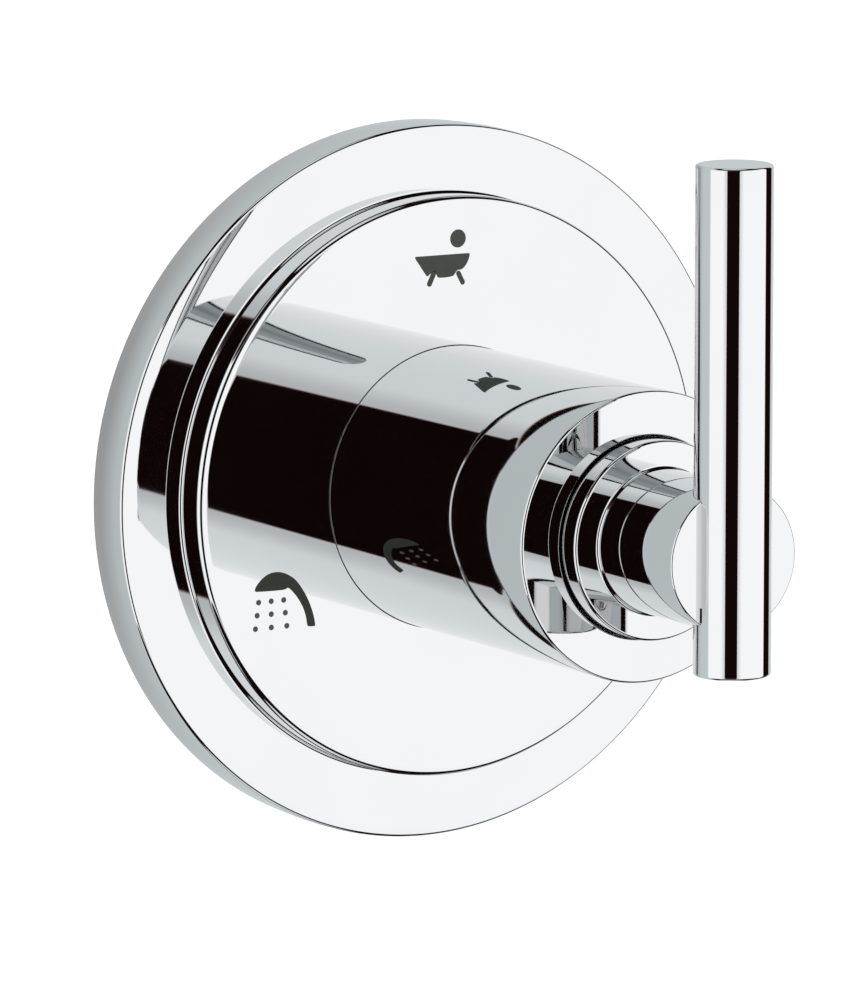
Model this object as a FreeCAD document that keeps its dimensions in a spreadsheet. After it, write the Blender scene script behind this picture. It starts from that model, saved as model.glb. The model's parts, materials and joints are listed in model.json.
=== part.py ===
import FreeCAD, Part
import math
import os

import Sketcher

# Concealed three-way shower diverter, in millimetres.
# The wall plane is y = 0, the front faces -Y and +Z is up. The origin is the centre of the escutcheon's back face.
# Stations along the valve's axis are given as a distance out from the wall, so a station s lies at y = -s.

V = FreeCAD.Vector
doc = FreeCAD.newDocument("shower_diverter")
sheet = doc.addObject("Spreadsheet::Sheet", "Sizes")

SIZES = [
    # all turned profiles are drawn this far up their sketch, so that no station is negative there
    ("lift", 40.0),
    # escutcheon
    ("rim_back_radius", 58.4),
    ("rim_front_radius", 58.0),
    ("rim_crown", 104.6),
    ("rim_station", 9.15),
    ("plate_wall", 2.0),
    ("disc_radius", 47.3),
    ("disc_station", 14.85),
    ("rim_edge", 0.8),
    ("disc_edge", 1.0),
    ("disc_root", 0.8),
    ("collar_bore", 23.3),
    ("collar_radius", 26.6),
    ("collar_back", 5.0),
    ("collar_groove_radius", 24.66),
    ("collar_groove_back", 8.0),
    ("collar_groove_front", 10.0),
    ("collar_ring_centre", 23.88),
    ("collar_ring_section", 0.75),
    ("collar_ring_station", 9.0),
    ("foam_inner", 50.0),
    ("foam_outer", 55.7),
    ("foam_back", 0.2),
    # sleeve and its bush
    ("sleeve_radius", 23.1),
    ("sleeve_inner", 21.3),
    ("sleeve_back", 1.0),
    ("sleeve_front", 71.8),
    ("sleeve_wall", 3.0),
    ("sleeve_mouth", 16.1),
    ("sleeve_edge", 0.45),
    ("mouth_edge", 0.25),
    ("bush_outer", 21.2),
    ("bush_inner", 15.88),
    ("bush_back", 62.4),
    ("sleeve_ring_centre", 20.3),
    ("sleeve_ring_section", 0.94),
    ("sleeve_ring_station", 14.2),
    # handle
    ("neck_radius", 15.8),
    ("neck_back", 62.0),
    ("neck_front", 75.8),
    ("neck_edge", 0.5),
    ("tip_radius", 11.5),
    ("tip_front", 96.35),
    ("tip_edge", 0.35),
    ("tip_root", 0.5),
    ("hub_bore", 5.0),
    ("hub_bore_end", 84.0),
    ("lever_screw_hole", 2.15),
    ("bar_radius", 6.05),
    ("bar_seat", 6.1),
    ("bar_station", 95.95),
    ("bar_low", 18.0),
    ("bar_high", 61.3),
    ("bar_edge", 0.5),
    ("bar_tapping", 2.05),
    ("grub_station", 78.7),
    ("grub_hole", 2.05),
    ("grub_radius", 1.95),
    ("grub_outer", 10.9),
    ("stem_flat", 4.4),
    ("lever_head_radius", 3.5),
    ("lever_head_back", 81.2),
    ("lever_shank", 1.95),
    ("lever_shank_end", 95.8),
    # stem and its extension
    ("ext_radius", 4.9),
    ("ext_front", 80.9),
    ("ext_socket_radius", 8.0),
    ("ext_back", 28.4),
    ("ext_shoulder", 46.0),
    ("ext_bore", 4.2),
    ("ext_bore_end", 40.3),
    ("ext_screw_station", 37.0),
    ("ext_screw_outer", 7.8),
    ("tab_reach", 12.5),
    ("tab_width", 5.0),
    ("tab_back", 29.5),
    ("tab_front", 33.5),
    ("stem_radius", 5.0),
    ("stem_spline", 4.1),
    ("stem_front", 40.0),
    ("stem_step", 28.0),
    ("stem_flange", 8.0),
    ("stem_flange_back", 12.5),
    ("stem_flange_front", 15.5),
    ("tang_width", 7.0),
    ("tang_back", 8.7),
    ("ring_groove_radius", 3.9),
    ("ring_one_back", 17.2),
    ("ring_two_back", 20.6),
    ("ring_groove_width", 1.6),
    ("stem_ring_centre", 4.48),
    ("stem_ring_section", 0.54),
    ("washer_inner", 5.2),
    ("washer_back", 15.55),
    ("washer_front", 15.95),
    # cartridge
    ("disc_low", 0.5),
    ("ceramic_fixed_radius", 13.2),
    ("ceramic_fixed_front", 4.0),
    ("ceramic_turn_radius", 13.0),
    ("ceramic_turn_back", 4.05),
    ("ceramic_turn_front", 8.5),
    ("channel_depth", 2.6),
    ("driver_front", 12.45),
    ("pin_radius", 1.5),
    ("pin_place", 9.0),
    ("pin_depth", 2.0),
    ("base_radius", 15.1),
    ("base_depth", 4.6),
    ("floor_depth", 6.0),
    ("port_place", 10.5),
    ("port_hole", 2.75),
    ("inlet_hole", 3.0),
    ("seal_ring", 1.3),
    ("housing_radius", 15.1),
    ("housing_inner", 13.5),
    ("housing_front_wall", 16.0),
    ("housing_bore", 5.06),
    ("housing_flange_radius", 17.6),
    ("housing_flange_back", 22.0),
    ("housing_flange_front", 24.5),
    ("housing_collar", 9.5),
    ("housing_collar_front", 28.0),
    ("housing_groove_radius", 13.6),
    ("housing_groove_back", 18.4),
    ("housing_groove_front", 20.8),
    ("housing_ring_centre", 14.5),
    ("housing_ring_section", 0.85),
    ("housing_ring_station", 19.6),
    ("nut_radius", 20.8),
    ("nut_thread", 18.05),
    ("nut_back", 9.0),
    ("nut_front", 27.0),
    ("nut_lip", 12.0),
    ("nut_groove_radius", 19.3),
    ("nut_groove_back", 13.0),
    ("nut_groove_front", 15.4),
    ("nut_slot_width", 5.0),
    ("nut_slot_depth", 2.0),
    ("stop_inner", 9.7),
    ("stop_outer", 11.7),
    ("stop_back", 24.6),
    ("stop_front", 28.4),
    ("lug_back", 27.4),
    ("lug_front", 33.5),
    ("lug_outer", 13.2),
    ("lug_angle", 86.0),
    # valve body, with depths behind the wall plane
    ("block_radius", 22.0),
    ("block_front", 4.0),
    ("block_back", 36.0),
    ("neck_outer", 18.0),
    ("chamber_radius", 15.4),
    ("port_depth", 19.0),
    ("port_reach", 36.0),
    ("port_boss", 13.2),
    ("boss_chamfer", 1.2),
    ("port_thread", 9.32),
    ("port_thread_depth", 15.0),
    ("boss_clearance", 0.05),
    ("port_bore", 4.5),
    ("side_bore_drop", 4.0),
    ("side_bore_end", 6.6),
    ("top_bore_end", 8.0),
    ("inlet_bore_rise", 2.0),
    ("lug_place", 28.0),
    ("lug_radius", 6.5),
    ("lug_hole", 2.75),
    ("lug_thickness", 6.0),
]
for row, (alias, value) in enumerate(SIZES, start=1):
    sheet.set("A%d" % row, alias)
    sheet.set("B%d" % row, repr(value))
    sheet.setAlias("B%d" % row, alias)
doc.recompute()
KNOWN = dict(SIZES)


def amount(text):
    """The number that a sum of sheet names and plain numbers comes to, such as "disc_station - plate_wall"."""
    total, sign = 0.0, 1.0
    for word in str(text).split():
        if word in "+-":
            sign = 1.0 if word == "+" else -1.0
        else:
            total += sign * (KNOWN[word] if word in KNOWN else float(word))
            sign = 1.0
    return total


def bound(text, front=""):
    """The same sum as an expression on the sheet."""
    return front + " ".join(
        "Sizes." + word if word in KNOWN else word for word in str(text).split()
    )


def minus(text):
    return bound(text, "-(") + ")"


# ---- turned pieces: a closed half profile turned about the valve's axis ----

TURNED = FreeCAD.Placement(V(0, KNOWN["lift"], 0), FreeCAD.Rotation(V(0, 0, 1), 180))


def plane_of(body, role):
    return [f for f in body.Origin.OriginFeatures if f.Role == role][0]


def sketch_on(body, name, role="XY_Plane"):
    sketch = body.newObject("Sketcher::SketchObject", name)
    sketch.AttachmentSupport = [(plane_of(body, role), "")]
    sketch.MapMode = "FlatFace"
    return sketch


def draw_profile(sketch, corners, lift="lift + "):
    """Closed outline through corners of (radius, station), or (radius, station, arc radius, bulge) where an arc leaves the corner."""
    places = [V(amount(c[0]), amount(lift + str(c[1])), 0) for c in corners]
    count = len(corners)
    for i, c in enumerate(corners):
        a, b = places[i], places[(i + 1) % count]
        if len(c) > 2:
            # a shallow arc that bulges to the right of the way from a to b
            chord = b.sub(a)
            half = chord.Length / 2
            sag = amount(c[2]) - math.sqrt(amount(c[2]) ** 2 - half**2)
            side = V(chord.y, -chord.x, 0).normalize()
            middle = a.add(b).multiply(0.5).add(side.multiply(sag))
            sketch.addGeometry(Part.Arc(a, middle, b), False)
        else:
            sketch.addGeometry(Part.LineSegment(a, b), False)
    # an arc is stored anticlockwise, so its ends may be the other way round
    ends = []
    for i in range(count):
        first = sketch.getPoint(i, 1)
        ends.append((1, 2) if first.sub(places[i]).Length < 1e-6 else (2, 1))
    for i in range(count):
        j = (i + 1) % count
        sketch.addConstraint(
            Sketcher.Constraint("Coincident", i, ends[i][1], j, ends[j][0])
        )
    for i, c in enumerate(corners):
        if abs(places[i].x) < 1e-9:
            sketch.addConstraint(
                Sketcher.Constraint("PointOnObject", i, ends[i][0], -2)
            )
        else:
            k = sketch.addConstraint(
                Sketcher.Constraint("DistanceX", -1, 1, i, ends[i][0], places[i].x)
            )
            sketch.setExpression("Constraints[%d]" % k, bound(c[0]))
        k = sketch.addConstraint(
            Sketcher.Constraint("DistanceY", -1, 1, i, ends[i][0], places[i].y)
        )
        sketch.setExpression("Constraints[%d]" % k, bound(lift + str(c[1])))
        if len(c) > 2:
            k = sketch.addConstraint(Sketcher.Constraint("Radius", i, amount(c[2])))
            sketch.setExpression("Constraints[%d]" % k, bound(c[2]))


def turned(label, corners, placement=TURNED, lift="lift + "):
    body = doc.addObject("PartDesign::Body", label)
    body.Label = label
    sketch = sketch_on(body, label + "_profile")
    draw_profile(sketch, corners, lift)
    turn = body.newObject("PartDesign::Revolution", label + "_turn")
    turn.Profile = sketch
    turn.ReferenceAxis = (sketch, ["V_Axis"])
    turn.Angle = 360
    sketch.Visibility = False
    body.Placement = placement
    doc.recompute()
    return body


def ring_edges(body, spots, lift="lift + "):
    """Names of the circular edges of a turned body at each (radius, station)."""
    names = []
    for radius, station in spots:
        r, y = amount(radius), amount(lift + str(station))
        found = [
            "Edge%d" % n
            for n, e in enumerate(body.Tip.Shape.Edges, start=1)
            if isinstance(e.Curve, Part.Circle)
            and abs(e.Curve.Radius - r) < 1e-4
            and abs(e.Curve.Center.y - y) < 1e-4
        ]
        if not found:
            raise RuntimeError("%s has no edge at %s, %s" % (body.Label, radius, station))
        names += found
    return names


def rounded(body, size, spots, lift="lift + "):
    base = body.Tip
    names = ring_edges(body, spots, lift)
    blend = body.newObject("PartDesign::Fillet", body.Label + "_" + size)
    blend.Base = (base, names)
    blend.Radius = amount(size)
    blend.setExpression("Radius", bound(size))
    doc.recompute()
    return blend


def drilled(body, name, radius, station, way, lift="lift + "):
    """A round hole square to the profile's plane, through to one side (way +1 or -1) or to both (0)."""
    before = body.Tip.Shape.Volume
    sketch = sketch_on(body, name + "_outline")
    y = amount(lift + str(station))
    sketch.addGeometry(Part.Circle(V(0, y, 0), V(0, 0, 1), amount(radius)), False)
    sketch.addConstraint(Sketcher.Constraint("PointOnObject", 0, 3, -2))
    k = sketch.addConstraint(Sketcher.Constraint("DistanceY", -1, 1, 0, 3, y))
    sketch.setExpression("Constraints[%d]" % k, bound(lift + str(station)))
    k = sketch.addConstraint(Sketcher.Constraint("Radius", 0, amount(radius)))
    sketch.setExpression("Constraints[%d]" % k, bound(radius))
    cut = body.newObject("PartDesign::Pocket", name)
    cut.Profile = sketch
    cut.Type = "ThroughAll"
    if way == 0:
        cut.SideType = "Symmetric"
    else:
        # a pocket runs against its sketch's normal unless it is reversed
        cut.Reversed = way > 0
    sketch.Visibility = False
    doc.recompute()
    if body.Tip.Shape.Volume > before - 1e-3:
        raise RuntimeError(name + " cut nothing")
    return cut


# ---- plain solids and their sums ----

ALONG_Y = FreeCAD.Rotation(V(1, 0, 0), -90)
ALONG_X = FreeCAD.Rotation(V(0, 1, 0), 90)
ALONG_Z = FreeCAD.Rotation()


def at(obj, x="0", y="0", z="0", rotation=ALONG_Z, backwards=""):
    """Places obj. Letters in backwards name the coordinates that count the other way."""
    obj.Placement = FreeCAD.Placement(V(0, 0, 0), rotation)
    for letter, text in (("x", x), ("y", y), ("z", z)):
        obj.setExpression(
            "Placement.Base." + letter,
            minus(text) if letter in backwards else bound(text),
        )
    return obj


def bar_y(name, radius, back, front, x="0", z="0", backwards=""):
    """A cylinder along the valve's axis between two stations."""
    c = doc.addObject("Part::Cylinder", name)
    c.setExpression("Radius", bound(radius))
    c.setExpression("Height", "(" + bound(front) + ") - (" + bound(back) + ")")
    return at(c, x, front, z, ALONG_Y, "y" + backwards)


def bar_x(name, radius, low, high, y="0", z="0", backwards=""):
    c = doc.addObject("Part::Cylinder", name)
    c.setExpression("Radius", bound(radius))
    c.setExpression("Height", "(" + bound(high) + ") - (" + bound(low) + ")")
    return at(c, low, y, z, ALONG_X, backwards)


def bar_z(name, radius, low, high, x="0", y="0", backwards=""):
    c = doc.addObject("Part::Cylinder", name)
    c.setExpression("Radius", bound(radius))
    c.setExpression("Height", "(" + bound(high) + ") - (" + bound(low) + ")")
    return at(c, x, y, low, ALONG_Z, backwards)


def taper(name, low_radius, high_radius, low, high, y, rotation):
    """A cone frustum across the valve, along X or Z."""
    c = doc.addObject("Part::Cone", name)
    c.setExpression("Radius1", bound(low_radius))
    c.setExpression("Radius2", bound(high_radius))
    c.setExpression("Height", "(" + bound(high) + ") - (" + bound(low) + ")")
    return at(c, low, y, "0", rotation) if rotation is ALONG_X else at(c, "0", y, low, rotation)


def block(name, size, x, y, z, rotation=ALONG_Z, backwards=""):
    b = doc.addObject("Part::Box", name)
    for prop, text in zip(("Length", "Width", "Height"), size):
        b.setExpression(prop, bound(text))
    return at(b, x, y, z, rotation, backwards)


def hexagon(name, across, length, x, y, z, rotation, backwards=""):
    p = doc.addObject("Part::Prism", name)
    p.Polygon = 6
    p.Circumradius = across
    p.Height = length
    return at(p, x, y, z, rotation, backwards)


def ring(name, centre, section, station):
    """A round-section ring about the valve's axis."""
    o = doc.addObject("Part::Torus", name)
    o.Label = name
    o.setExpression("Radius1", bound(centre))
    o.setExpression("Radius2", bound(section))
    return at(o, "0", station, "0", ALONG_Y, "y")


def joined(name, *shapes):
    f = doc.addObject("Part::MultiFuse", name)
    f.Shapes = list(shapes)
    f.Refine = True
    return f


def less(name, base, *tools):
    c = doc.addObject("Part::Cut", name)
    c.Base = base
    c.Tool = tools[0] if len(tools) == 1 else joined(name + "_tools", *tools)
    return c


def together(name, *shapes):
    g = doc.addObject("Part::Compound", name)
    g.Links = list(shapes)
    return g


nodes = []


def node(obj, label):
    obj.Label = label
    nodes.append(obj)
    return obj


# ---- escutcheon: a stepped base ring, a flat disc in front of it, and a collar that the sleeve passes through ----

escutcheon = turned(
    "escutcheon",
    [
        ("rim_front_radius - plate_wall", "0"),
        ("rim_back_radius", "0", "rim_crown"),
        ("rim_front_radius", "rim_station"),
        ("disc_radius", "rim_station"),
        ("disc_radius", "disc_station - plate_wall"),
        ("disc_radius - plate_wall", "disc_station - plate_wall"),
        ("disc_radius - plate_wall", "rim_station - plate_wall"),
        ("rim_front_radius - plate_wall", "rim_station - plate_wall"),
    ],
)
rounded(escutcheon, "disc_root", [("disc_radius", "rim_station")])
rounded(escutcheon, "rim_edge", [("rim_front_radius", "rim_station")])
node(escutcheon, "escutcheon")

escutcheon_disc = turned(
    "escutcheon_disc",
    [
        ("collar_bore", "disc_station - plate_wall"),
        ("disc_radius", "disc_station - plate_wall"),
        ("disc_radius", "disc_station"),
        ("collar_bore", "disc_station"),
    ],
)
rounded(escutcheon_disc, "disc_edge", [("disc_radius", "disc_station")])
node(escutcheon_disc, "escutcheon_disc")

node(
    turned(
        "escutcheon_collar",
        [
            ("collar_bore", "collar_back"),
            ("collar_radius", "collar_back"),
            ("collar_radius", "disc_station - plate_wall"),
            ("collar_bore", "disc_station - plate_wall"),
            ("collar_bore", "collar_groove_front"),
            ("collar_groove_radius", "collar_groove_front"),
            ("collar_groove_radius", "collar_groove_back"),
            ("collar_bore", "collar_groove_back"),
        ],
    ),
    "escutcheon_collar",
)

node(
    turned(
        "escutcheon_seal",
        [
            ("foam_inner", "foam_back"),
            ("foam_outer", "foam_back"),
            ("foam_outer", "rim_station - plate_wall"),
            ("foam_inner", "rim_station - plate_wall"),
        ],
    ),
    "escutcheon_seal",
)
node(
    ring("collar_o_ring", "collar_ring_centre", "collar_ring_section", "collar_ring_station"),
    "collar_o_ring",
)

# ---- sleeve with its front wall, the ring that grips it and the bush that guides the handle's neck ----

sleeve = turned(
    "sleeve",
    [
        ("sleeve_inner", "sleeve_back"),
        ("sleeve_radius", "sleeve_back"),
        ("sleeve_radius", "sleeve_front"),
        ("sleeve_mouth", "sleeve_front"),
        ("sleeve_mouth", "sleeve_front - sleeve_wall"),
        ("sleeve_inner", "sleeve_front - sleeve_wall"),
    ],
)
rounded(sleeve, "sleeve_edge", [("sleeve_radius", "sleeve_front")])
rounded(sleeve, "mouth_edge", [("sleeve_mouth", "sleeve_front")])
node(sleeve, "sleeve")
node(
    ring("sleeve_o_ring", "sleeve_ring_centre", "sleeve_ring_section", "sleeve_ring_station"),
    "sleeve_o_ring",
)
node(
    turned(
        "handle_glide_ring",
        [
            ("bush_inner", "bush_back"),
            ("bush_outer", "bush_back"),
            ("bush_outer", "sleeve_front - sleeve_wall"),
            ("bush_inner", "sleeve_front - sleeve_wall"),
        ],
    ),
    "handle_glide_ring",
)

# ---- handle hub: neck flange and tip turned from one bar, bored from behind, with a seat for the bar across its front ----

hub = turned(
    "handle_hub",
    [
        ("hub_bore", "neck_back"),
        ("neck_radius", "neck_back"),
        ("neck_radius", "neck_front"),
        ("tip_radius", "neck_front"),
        ("tip_radius", "tip_front"),
        ("lever_screw_hole", "tip_front"),
        ("lever_screw_hole", "hub_bore_end"),
        ("hub_bore", "hub_bore_end"),
    ],
)
rounded(hub, "neck_edge", [("neck_radius", "neck_front")])
rounded(hub, "tip_root", [("tip_radius", "neck_front")])
rounded(hub, "tip_edge", [("tip_radius", "tip_front")])
drilled(hub, "bar_seat_groove", "bar_seat", "bar_station", 0)
drilled(hub, "grub_screw_hole", "grub_hole", "grub_station", -1)
node(hub, "handle_hub")

# ---- lever bar: a plain round bar, upright, with a tapped hole in its back ----

bar = turned(
    "lever_bar",
    [
        ("0", "0 - bar_low"),
        ("bar_radius", "0 - bar_low"),
        ("bar_radius", "bar_high"),
        ("0", "bar_high"),
    ],
    FreeCAD.Placement(
        V(0, -KNOWN["bar_station"], -KNOWN["lift"]), FreeCAD.Rotation(V(1, 0, 0), 90)
    ),
)
rounded(bar, "bar_edge", [("bar_radius", "0 - bar_low"), ("bar_radius", "bar_high")])
drilled(bar, "lever_screw_tapping", "bar_tapping", "0", -1)
bar.setExpression("Placement.Base.y", minus("bar_station"))
bar.setExpression("Placement.Base.z", minus("lift"))
node(bar, "lever_bar")

node(
    less(
        "lever_screw",
        joined(
            "lever_screw_blank",
            bar_y("lever_screw_head", "lever_head_radius", "lever_head_back", "hub_bore_end"),
            bar_y("lever_screw_shank", "lever_shank", "hub_bore_end - 0.5", "lever_shank_end"),
        ),
        hexagon(
            "lever_screw_key", 1.45, 1.7, "0", "lever_head_back + 1.6", "0", ALONG_Y, "y"
        ),
    ),
    "lever_screw",
)
node(
    less(
        "handle_grub_screw",
        bar_z(
            "grub_blank",
            "grub_radius",
            "0 - grub_outer",
            "0 - stem_flat - 0.05",
            "0",
            "grub_station",
            "y",
        ),
        hexagon(
            "grub_key", 1.15, 2.0, "0", "grub_station", "0 - grub_outer - 0.1", ALONG_Z, "y"
        ),
    ),
    "handle_grub_screw",
)

# ---- stem extension: socket over the stem's spline, stop tab, and a shaft with a flat for the grub screw ----

ext_turning = turned(
    "stem_extension_turning",
    [
        ("ext_bore", "ext_back"),
        ("ext_socket_radius", "ext_back"),
        ("ext_socket_radius", "ext_shoulder"),
        ("ext_radius", "ext_shoulder"),
        ("ext_radius", "ext_front"),
        ("0", "ext_front"),
        ("0", "ext_bore_end"),
        ("ext_bore", "ext_bore_end"),
    ],
)
node(
    less(
        "stem_extension",
        joined(
            "stem_extension_blank",
            ext_turning,
            block(
                "stop_tab",
                ("tab_width", "tab_front - tab_back", "tab_reach - ext_socket_radius + 1"),
                "0 - 2.5",
                "0 - tab_front",
                "ext_socket_radius - 1",
            ),
        ),
        bar_x("ext_screw_hole", "grub_hole", "0", "ext_socket_radius + 1", "ext_screw_station", "0", "y"),
        block(
            "stem_flat_cut",
            ("12", "ext_front - 74 + 1", "4"),
            "0 - 6",
            "0 - ext_front - 1",
            "0 - stem_flat - 4",
        ),
    ),
    "stem_extension",
)
node(
    less(
        "extension_screw",
        bar_x("ext_screw_blank", "grub_radius", "stem_spline + 0.05", "ext_screw_outer", "ext_screw_station", "0", "y"),
        hexagon(
            "ext_screw_key", 1.15, 2.0, "ext_screw_outer - 1.6", "ext_screw_station", "0", ALONG_X, "y"
        ),
    ),
    "extension_screw",
)

# ---- stem with two seal grooves, a flange and a square tang ----

stem_turning = turned(
    "stem_turning",
    [
        ("0", "stem_flange_back"),
        ("stem_flange", "stem_flange_back"),
        ("stem_flange", "stem_flange_front"),
        ("stem_radius", "stem_flange_front"),
        ("stem_radius", "ring_one_back"),
        ("ring_groove_radius", "ring_one_back"),
        ("ring_groove_radius", "ring_one_back + ring_groove_width"),
        ("stem_radius", "ring_one_back + ring_groove_width"),
        ("stem_radius", "ring_two_back"),
        ("ring_groove_radius", "ring_two_back"),
        ("ring_groove_radius", "ring_two_back + ring_groove_width"),
        ("stem_radius", "ring_two_back + ring_groove_width"),
        ("stem_radius", "stem_step"),
        ("stem_spline", "stem_step"),
        ("stem_spline", "stem_front"),
        ("0", "stem_front"),
    ],
)
node(
    joined(
        "stem",
        stem_turning,
        block(
            "stem_tang",
            ("tang_width", "stem_flange_back - tang_back + 0.5", "tang_width"),
            "0 - 3.5",
            "0 - stem_flange_back - 0.5",
            "0 - 3.5",
        ),
    ),
    "stem",
)
node(
    together(
        "stem_o_rings",
        ring("stem_ring_one", "stem_ring_centre", "stem_ring_section", "ring_one_back + 0.8"),
        ring("stem_ring_two", "stem_ring_centre", "stem_ring_section", "ring_two_back + 0.8"),
    ),
    "stem_o_rings",
)
node(
    turned(
        "slide_washer",
        [
            ("washer_inner", "washer_back"),
            ("stem_flange", "washer_back"),
            ("stem_flange", "washer_front"),
            ("washer_inner", "washer_front"),
        ],
    ),
    "slide_washer",
)

# ---- ceramic discs, driver and cartridge ----

COS = repr(round(math.cos(math.radians(30)), 9))


def port_places():
    """The outlet ports' places about the axis: top, lower left and lower right."""
    return (
        ("top", "0", "Sizes.port_place"),
        ("left", "-Sizes.port_place * " + COS, "-Sizes.port_place / 2"),
        ("right", "Sizes.port_place * " + COS, "-Sizes.port_place / 2"),
    )


def port_bars(name, radius, back, front, centre_radius):
    """Four holes along the axis: the inlet in the middle and the outlets round it."""
    made = [bar_y(name + "_inlet", centre_radius, back, front)]
    for place, x, z in port_places():
        c = bar_y(name + "_" + place, radius, back, front)
        c.setExpression("Placement.Base.x", x)
        c.setExpression("Placement.Base.z", z)
        made.append(c)
    return made


node(
    less(
        "cartridge_base",
        bar_y("base_blank", "base_radius", "0 - base_depth", "disc_low"),
        *port_bars("base_port", "port_hole", "0 - base_depth - 1", "disc_low + 1", "inlet_hole"),
    ),
    "cartridge_base",
)
outer_rings = port_bars(
    "seal_outer", "port_hole + seal_ring", "0 - floor_depth", "0 - base_depth", "inlet_hole + seal_ring"
)
inner_rings = port_bars(
    "seal_inner", "port_hole + 0.2", "0 - floor_depth - 1", "0 - base_depth + 1", "inlet_hole + 0.2"
)
node(
    together(
        "port_seals",
        *[less("port_seal_%d" % n, a, b) for n, (a, b) in enumerate(zip(outer_rings, inner_rings), start=1)],
    ),
    "port_seals",
)
node(
    less(
        "fixed_ceramic_disc",
        bar_y("fixed_disc_blank", "ceramic_fixed_radius", "disc_low", "ceramic_fixed_front"),
        *port_bars("fixed_port", "port_hole", "disc_low - 1", "ceramic_fixed_front + 1", "inlet_hole"),
    ),
    "fixed_ceramic_disc",
)
channel = joined(
    "channel",
    bar_y("channel_inlet", "inlet_hole", "ceramic_turn_back - 1", "ceramic_turn_back + channel_depth"),
    bar_y(
        "channel_outlet",
        "port_hole",
        "ceramic_turn_back - 1",
        "ceramic_turn_back + channel_depth",
        "0",
        "port_place",
    ),
    block(
        "channel_run",
        ("port_hole + port_hole", "channel_depth + 1", "port_place"),
        "0 - port_hole",
        "0 - ceramic_turn_back - channel_depth",
        "0",
    ),
)
node(
    less(
        "rotating_ceramic_disc",
        bar_y("turning_disc_blank", "ceramic_turn_radius", "ceramic_turn_back", "ceramic_turn_front"),
        channel,
        bar_y("pin_hole_right", "pin_radius + 0.1", "ceramic_turn_front - pin_depth - 0.1", "ceramic_turn_front + 1", "pin_place"),
        bar_y("pin_hole_left", "pin_radius + 0.1", "ceramic_turn_front - pin_depth - 0.1", "ceramic_turn_front + 1", "0 - pin_place"),
    ),
    "rotating_ceramic_disc",
)
node(
    less(
        "disc_driver",
        joined(
            "disc_driver_blank",
            bar_y("driver_plate", "ceramic_turn_radius", "ceramic_turn_front", "driver_front"),
            bar_y("driver_pin_right", "pin_radius", "ceramic_turn_front - pin_depth", "ceramic_turn_front + 1", "pin_place"),
            bar_y("driver_pin_left", "pin_radius", "ceramic_turn_front - pin_depth", "ceramic_turn_front + 1", "0 - pin_place"),
        ),
        block(
            "driver_socket",
            ("tang_width + 0.2", "driver_front - ceramic_turn_front + 2", "tang_width + 0.2"),
            "0 - 3.6",
            "0 - driver_front - 1",
            "0 - 3.6",
        ),
    ),
    "disc_driver",
)
node(
    turned(
        "cartridge_housing",
        [
            ("housing_inner", "disc_low"),
            ("housing_radius", "disc_low"),
            ("housing_radius", "housing_groove_back"),
            ("housing_groove_radius", "housing_groove_back"),
            ("housing_groove_radius", "housing_groove_front"),
            ("housing_radius", "housing_groove_front"),
            ("housing_radius", "housing_flange_back"),
            ("housing_flange_radius", "housing_flange_back"),
            ("housing_flange_radius", "housing_flange_front"),
            ("housing_collar", "housing_flange_front"),
            ("housing_collar", "housing_collar_front"),
            ("housing_bore", "housing_collar_front"),
            ("housing_bore", "housing_front_wall"),
            ("housing_inner", "housing_front_wall"),
        ],
    ),
    "cartridge_housing",
)
node(
    ring("housing_o_ring", "housing_ring_centre", "housing_ring_section", "housing_ring_station"),
    "housing_o_ring",
)

# ---- ring nut with a lip in front, a groove for the sleeve's ring and four key slots ----

nut_turning = turned(
    "cartridge_nut_turning",
    [
        ("nut_thread", "nut_back"),
        ("nut_radius", "nut_back"),
        ("nut_radius", "nut_groove_back"),
        ("nut_groove_radius", "nut_groove_back"),
        ("nut_groove_radius", "nut_groove_front"),
        ("nut_radius", "nut_groove_front"),
        ("nut_radius", "nut_front"),
        ("nut_lip", "nut_front"),
        ("nut_lip", "housing_flange_front"),
        ("nut_thread", "housing_flange_front"),
    ],
)
node(
    less(
        "cartridge_nut",
        nut_turning,
        block(
            "key_slot_across",
            ("nut_radius + nut_radius + 2", "nut_slot_depth + 1", "nut_slot_width"),
            "0 - nut_radius - 1",
            "0 - nut_front - 1",
            "0 - 2.5",
        ),
        block(
            "key_slot_upright",
            ("nut_slot_width", "nut_slot_depth + 1", "nut_radius + nut_radius + 2"),
            "0 - 2.5",
            "0 - nut_front - 1",
            "0 - nut_radius - 1",
        ),
    ),
    "cartridge_nut",
)

# ---- stop ring: a ring round the housing's collar with one lug below that the stop tab runs up to ----

lug = bar_y("stop_lug_sector", "lug_outer", "lug_back", "lug_front")
lug.setExpression("Angle", "Sizes.lug_angle")
# the sector is centred on straight down
lug.Placement = FreeCAD.Placement(
    V(0, -KNOWN["lug_front"], 0),
    ALONG_Y.multiply(FreeCAD.Rotation(V(0, 0, 1), 90 - KNOWN["lug_angle"] / 2)),
)
node(
    less(
        "stop_ring",
        joined(
            "stop_ring_blank",
            bar_y("stop_ring_outside", "stop_outer", "stop_back", "stop_front"),
            lug,
        ),
        bar_y("stop_ring_bore", "stop_inner", "stop_back - 1", "lug_front + 1"),
    ),
    "stop_ring",
)

# ---- valve body: a round block with a neck forward, four threaded pipe bosses, and a back plate with four fixing lugs ----

SIDES = ("left", "right", "top", "bottom")
# the bosses start where their threads end, and the back plate where its lugs do
BOSS_INNER = "port_reach - port_thread_depth"
PLATE_FRONT = "0 - block_back + lug_thickness"


def opposite(text):
    return "0 - " + " ".join({"+": "-", "-": "+"}.get(w, w) for w in text.split())


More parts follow.
